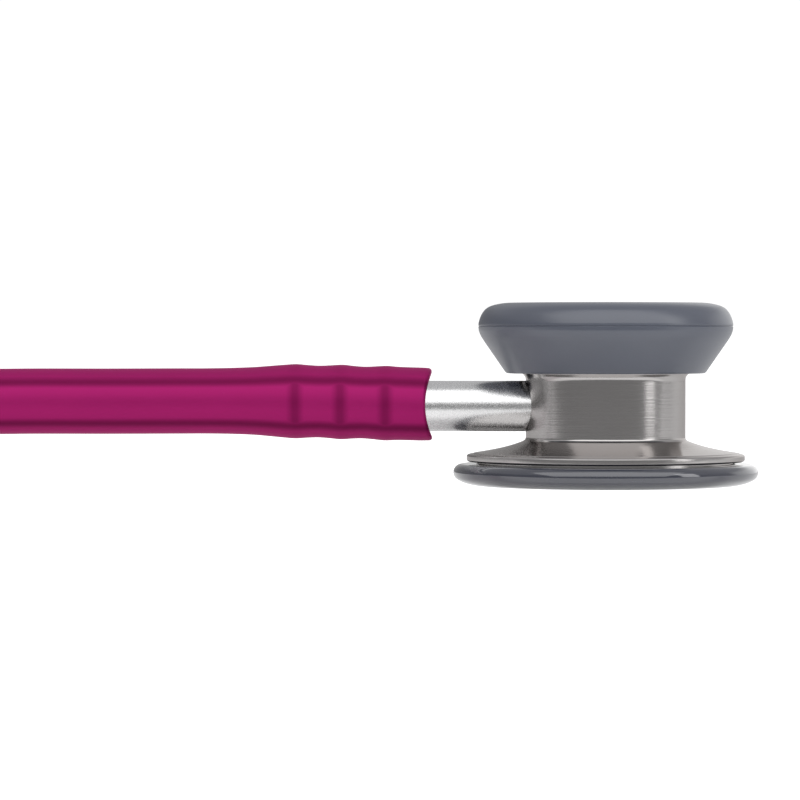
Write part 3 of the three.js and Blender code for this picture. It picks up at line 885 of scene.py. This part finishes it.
def detent_at(height):
    return Matrix.Translation((DETENT_X, 0, height))


def make_chestpiece():
    body = turned_piece("chestpiece_steel", BODY, STEEL)
    bore = turned_mesh(plug(radius=3.45, low=-12, high=5), 96, ON_STEM, closed=False)
    groove = turned_mesh(plug(radius=4, low=2.7, high=3.9), 96, ON_STEM, closed=False)
    ball_hole = turned_mesh(plug(radius=1.2, low=0.9, high=7.3), 48, detent_at(0), closed=False)
    carve(body, bore, groove, ball_hole)
    attach(body, "head", "body_steel", "chestpiece_body")
    sleeve = turned_piece("bell_sleeve_rubber", SLEEVE, SLEEVE_RUBBER)
    attach(sleeve, "head", "bell_rubber", "bell_sleeve")
    rim = turned_piece("diaphragm_rim_ring", RIM, RIM_PLASTIC, 320)
    attach(rim, "head", "rim_plastic", "diaphragm_rim")
    disc = turned_piece("diaphragm_sheet_disc", DIAPHRAGM, EPOXY, 192, closed=False)
    attach(disc, "membrane", "diaphragm_sheet", "diaphragm")


def make_stem():
    stem = turned_piece("swivel_stem", stem_outline(), STEM_STEEL, 128, ON_STEM, closed=False)
    port = turned_mesh(plug(radius=1.3, low=0, high=STEM_AXIS_Z), 48, closed=False)
    pits = []
    for side in (-1, 1):
        place = detent_at(STEM_AXIS_Z + side * 3.25)
        pits.append(turned_mesh(ball_outline(0.95), 32, place, closed=False))
    carve(stem, port, *pits)
    attach(stem, "tubing", "stem_steel", "stem")
    middle, along, thick = 2.85, -7.7, 0.35
    angles = np.linspace(0, 2 * math.pi, 24, False)
    ring = [(middle + thick * math.cos(a), along + thick * math.sin(a)) for a in angles]
    seal = new_piece("stem_seal_ring", turned_mesh(ring, 96, ON_STEM), SEAL_RUBBER)
    attach(seal, "tubing", "seal_rubber", "stem_seal")


def ball_outline(radius, count=16):
    """A ball's outline from its lowest point to its highest, which both lie on the axis."""
    angles = [-math.pi / 2 + math.pi * k / count for k in range(count + 1)]
    outline = [(max(0.0, radius * math.cos(a)), radius * math.sin(a)) for a in angles]
    return [(0.0, outline[0][1]), *outline[1:-1], (0.0, outline[-1][1])]


def coil_tree():
    """A wire wound evenly into a spring."""
    inputs = dict.fromkeys(("Wire radius", "Coil radius", "Turns", "Height"), "Float")
    tree, given = new_tree("detent_coil", inputs | {"Finish": "Material"}, "Spring")
    sizes = {"Resolution": 40, "Rotations": given["Turns"], "Height": given["Height"]}
    sizes |= {"Start Radius": given["Coil radius"], "End Radius": given["Coil radius"]}
    wind = node(tree, "GeometryNodeCurveSpiral", sizes).outputs[0]
    wire = node(tree, "GeometryNodeCurvePrimitiveCircle", {"Resolution": 14})
    tree.links.new(given["Wire radius"], wire.inputs["Radius"])
    sweep = {"Curve": wind, "Profile Curve": wire.outputs[0], "Fill Caps": True}
    wound = node(tree, "GeometryNodeCurveToMesh", sweep).outputs[0]
    return end_tree(tree, wound, given["Finish"])


def make_detent():
    low, high = 3.35, 4.45
    spring = new_piece("detent_coil_spring", bpy.data.meshes.new("coil"), SPRING_STEEL)
    wind = spring.modifiers.new("wind", "NODES")
    wind.node_group = coil_tree()
    sizes = {"wire_radius": 0.15 * MM, "coil_radius": 0.7 * MM, "height": (high - low) * MM}
    set_inputs(wind, finish=SPRING_STEEL, turns=3.0, **sizes)
    flatten(spring)
    spring.data.transform(Matrix.Translation(Vector((DETENT_X, 0, low)) * MM))
    faced_out(spring.data)
    attach(spring, "head", "spring_steel", "detent_spring")
    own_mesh(spring)
    radius, top = 0.9, 6.58
    round_mesh = turned_mesh(ball_outline(radius, 24), 48, detent_at(top - radius), closed=False)
    ball = new_piece("detent_steel_ball", round_mesh, SPRING_STEEL)
    attach(ball, "detent", "spring_steel", "detent_ball")
    foot = 2.05
    outline = [(0, foot, 0), (0.9, foot, 0.15), (0.9, 2.95, 0.1), (0, 2.95, 0)]
    screw = turned_piece("detent_grub_screw", outline, SPRING_STEEL, 48, detent_at(0), closed=False)
    slot = bpy.data.meshes.new("slot")
    work = bmesh.new()
    bmesh.ops.create_cube(work, size=1.0)
    work.to_mesh(slot)
    work.free()
    size = Matrix.Diagonal((0.35 * MM, 3 * MM, 0.6 * MM, 1))
    slot.transform(Matrix.Translation(Vector((DETENT_X, 0, foot)) * MM) @ size)
    carve(screw, slot)
    attach(screw, "head", "spring_steel", "detent_screw")


make_chestpiece()
make_stem()
make_detent()


# ---------------------------------------------------------------- yoke and headset
def in_headset(u, v, z, side=1):
    """u runs away from the chestpiece from the yoke's start, v to one side of its middle."""
    return np.array([YOKE_X - u, YOKE_Y + side * v, z])


def plain_hose(name, line, radius_at, finish):
    """A solid hose with flat ends and a ring about every millimetre."""
    whole = lengths(line)[-1]
    places = np.linspace(0, whole, max(4, int(whole)))
    radii = [radius_at(p) for p in places]
    rings = list(zip(at_lengths(line, places), radii, ways_along(line, places)))
    first, last = rings[0], rings[-1]
    rings = [(first[0], 0.0, first[2]), *rings, (last[0], 0.0, last[2])]
    return hose_piece(name, rings, finish, 32)


YOKE_RADIUS = 4.5
YOKE_LEG = [(4, 0.1), (9, 0.55), (14, 2.1), (20, 4.5), (26, 6.6), (32, 7.6), (38, 7.95)]


def make_yoke():
    """One soft moulding: a collar on the tubing that parts into two legs with a web between."""
    trunk = smooth_line([in_headset(u, 0, PARTING_Z) for u in (0, 8, 20)])
    parts = [plain_hose("trunk", trunk, lambda p: YOKE_RADIUS + 0.1 * min(p / 8, 1), MOULDED_PVC)]
    for side in (1, -1):
        leg = smooth_line([in_headset(u, v, PARTING_Z, side) for u, v in YOKE_LEG])
        parts.append(plain_hose("leg", leg, lambda p: YOKE_RADIUS, MOULDED_PVC))
    web = bpy.data.meshes.new("web")
    outline = [(12, 1.5), (18, 3.5), (25, 5.6), (28.5, 6), (26.6, 3.0), (25.8, 1.2)]
    loop = [in_headset(u, v, 0) for u, v in outline]
    loop += [in_headset(u, v, 0, -1) for u, v in outline[::-1]]
    work = bmesh.new()
    low, high = (
        [work.verts.new(Vector(p + np.array([0, 0, z])) * MM) for p in loop] for z in (1.1, 6.5)
    )
    work.faces.new(low)
    work.faces.new(high[::-1])
    for i in range(len(loop)):
        n = (i + 1) % len(loop)
        work.faces.new((low[i], high[i], high[n], low[n]))
    bmesh.ops.recalc_face_normals(work, faces=work.faces)
    work.to_mesh(web)
    work.free()
    parts.append(new_piece("web", web, MOULDED_PVC))
    whole = bmesh.new()
    for part in parts:
        whole.from_mesh(part.data)
        bpy.data.objects.remove(part)
    mesh = bpy.data.meshes.new("yoke")
    whole.to_mesh(mesh)
    whole.free()
    yoke = new_piece("yoke_moulding", mesh, MOULDED_PVC)
    skin = yoke.modifiers.new("skin", "REMESH")
    skin.mode, skin.voxel_size = "VOXEL", 0.42 * MM
    ease = yoke.modifiers.new("ease", "SMOOTH")
    ease.factor, ease.iterations = 0.5, 9
    flatten(yoke)
    yoke.data.materials.clear()
    yoke.data.materials.append(MOULDED_PVC)
    yoke.data.shade_smooth()
    yoke.visible_glossy = False
    attach(yoke, "tubing", "tubing_pvc", "yoke")


PIVOT_U, PIVOT_V = 41.0, 7.8
ARM_START = ((33.5, 7.66), (38, 7.98), (46, 9.1), (75, 13.8), (111, 21.4))
ARM_REACH, ARM_ASIDE = 141.4, 31.2  # the arm's end, from its pivot
SPREAD = math.radians(14.5)
CUFF_LENGTH, CUFF_RADIUS = 22.0, 4.7
EAR_TUBE_RADIUS = 2.9

# How an arm narrows behind its cuff: (distance from its end, radius).
CUFF_SWELL = [
    (0, CUFF_RADIUS), (1.0, CUFF_RADIUS), (CUFF_LENGTH - 5, 4.68),
    (CUFF_LENGTH - 2, 4.5), (CUFF_LENGTH + 2, 4.2), (CUFF_LENGTH + 5, TUBE_RADIUS),
    (CUFF_LENGTH + 9, TUBE_RADIUS),
]


def arm_end(side):
    point = in_headset(PIVOT_U + ARM_REACH, PIVOT_V + ARM_ASIDE, TUBE_REST_Z, side)
    along = np.array([-math.cos(SPREAD), side * math.sin(SPREAD), 0])
    inward = np.array([-math.sin(SPREAD), -side * math.cos(SPREAD), 0])
    return point, along, inward


def make_arm(name, side):
    """The upper tubing, from inside the yoke's leg to the cuff that grips the ear tube."""
    end, along, _ = arm_end(side)
    points = [in_headset(u, v, TUBE_REST_Z, side) for u, v in ARM_START]
    points += [end - along * (CUFF_LENGTH + 12), end - along * CUFF_LENGTH, end]
    line = smooth_line(points)
    whole = lengths(line)[-1]
    from_end = np.concatenate([np.arange(0.8, 33, 0.5), np.arange(33, whole, 1.5), [whole]])
    centres = at_lengths(line, whole - from_end)
    radii = eased(np.minimum(from_end, CUFF_LENGTH + 9), CUFF_SWELL)
    centres[:, 2] += radii - TUBE_RADIUS
    ways = ways_along(line, whole - from_end)
    rings = [(centres[-1], 0.0, ways[-1])] + list(zip(centres, radii, ways))[::-1]
    lift = np.array([0, 0, 0.6])
    bore, wall = 3.0, 1.7
    for deep, radius in mouth_rings(CUFF_RADIUS, bore, 0.8)[1:]:
        share = min(1.0, (CUFF_RADIUS - radius) / wall)
        rings.append((end - along * deep + lift * (1 - share), radius, along))
    for deep, radius in ((2, bore), (10, bore), (20.4, bore), (20.4, 0.0)):
        rings.append((end - along * deep, radius, along))
    piece = hose_piece(f"{name}_arm_hose", rings, TUBE_PVC, 56)
    piece.visible_glossy = False
    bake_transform(piece)
    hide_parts(f"{name}_arm_tube")


def ear_tube_line(side):
    end, along, inward = arm_end(side)
    lean = math.radians(15)
    start = end - along * 20
    across = inward * math.cos(lean) + np.array([0, 0, math.sin(lean)])
    straight, bend, turn, tail = 90.0, 22.0, math.radians(92.5), 8.0
    points = []
    for d in np.arange(0, straight, 2.5):
        points.append(start + along * d)
    for a in np.linspace(0, turn, 48):
        forward = along * (straight + bend * math.sin(a))
        points.append(start + forward + across * bend * (1 - math.cos(a)))
    way = along * math.cos(turn) + across * math.sin(turn)
    last = points[-1]
    for d in np.linspace(1, tail, 7):
        points.append(last + way * d)
    return np.array(points), way


def make_ear_tube(name, side):
    line, way = ear_tube_line(side)
    end = line[-1]
    whole = lengths(line)[-1]
    straight, bent = np.arange(3, 90, 3), np.arange(90, whole - 0.5, 0.6)
    places = np.concatenate([[0.3], straight, bent, [whole - 0.35]])
    ways = ways_along(line, places)
    rings = [(line[0], 0.0, ways[0]), (line[0], 2.7, ways[0])]
    rings += [(c, EAR_TUBE_RADIUS, w) for c, w in zip(at_lengths(line, places), ways)]
    for deep, radius in mouth_rings(EAR_TUBE_RADIUS, 2.1, 0.35, steps=5)[1:]:
        rings.append((end - way * deep, radius, way))
    for deep, radius in ((1.5, 2.1), (7.5, 2.1), (7.5, 0.0)):
        rings.append((end - way * deep, radius, way))
    piece = hose_piece(f"{name}_ear_tube_alloy", rings, EAR_ALLOY, 56)
    attach(piece, f"{name}_ear", "ear_tube_alloy", f"{name}_ear_tube")
    return end, way


EAR_TIP = [
    (4, 0, 0.15), (4.6, 0.3, 0.3), (5.6, 2, SMOOTH), (6.1, 4, SMOOTH),
    (6.2, 6, SMOOTH), (5.7, 8.6, SMOOTH), (4.5, 11.2, SMOOTH), (3.2, 12.8, SMOOTH),
    (2.3, 13.4, SMOOTH), (1.5, 13.2, 0.25), (1.3, 12.4, 0.4), (1.5, 8.6, 0.5),
    (4, 7.4, 0.2),
]
TIP_CORE = [(3.2, 0.8, 0.08), (3.7, 0.8, 0.08), (3.7, 7, 0.08), (3.2, 7, 0.08)]


TIP_OVERLAP = 6.5  # how far an ear tip's foot lies behind the ear tube's end


def make_headset():
    for name, side in (("left", 1), ("right", -1)):
        make_arm(name, side)
        end, way = make_ear_tube(name, side)
        foot = Vector(end - way * TIP_OVERLAP)
        turn = Vector(way).to_track_quat("Z", "Y").to_matrix().to_4x4()
        place = Matrix.Translation(foot) @ turn
        tip = turned_piece(f"{name}_ear_tip_mushroom", EAR_TIP, TIP_RUBBER, 128, place)
        attach(tip, f"{name}_tip", "ear_tip_rubber", f"{name}_ear_tip")
        core = turned_piece(f"{name}_tip_core_ring", TIP_CORE, CORE_PLASTIC, 96, place)
        attach(core, f"{name}_tip", "core_plastic", f"{name}_tip_core")


make_yoke()
make_headset()
for kept_node in ("stem_clip", "leaf_spring"):
    frame["nodes"][kept_node].data.materials.clear()
    frame["nodes"][kept_node].data.materials.append(SPRING_STEEL)
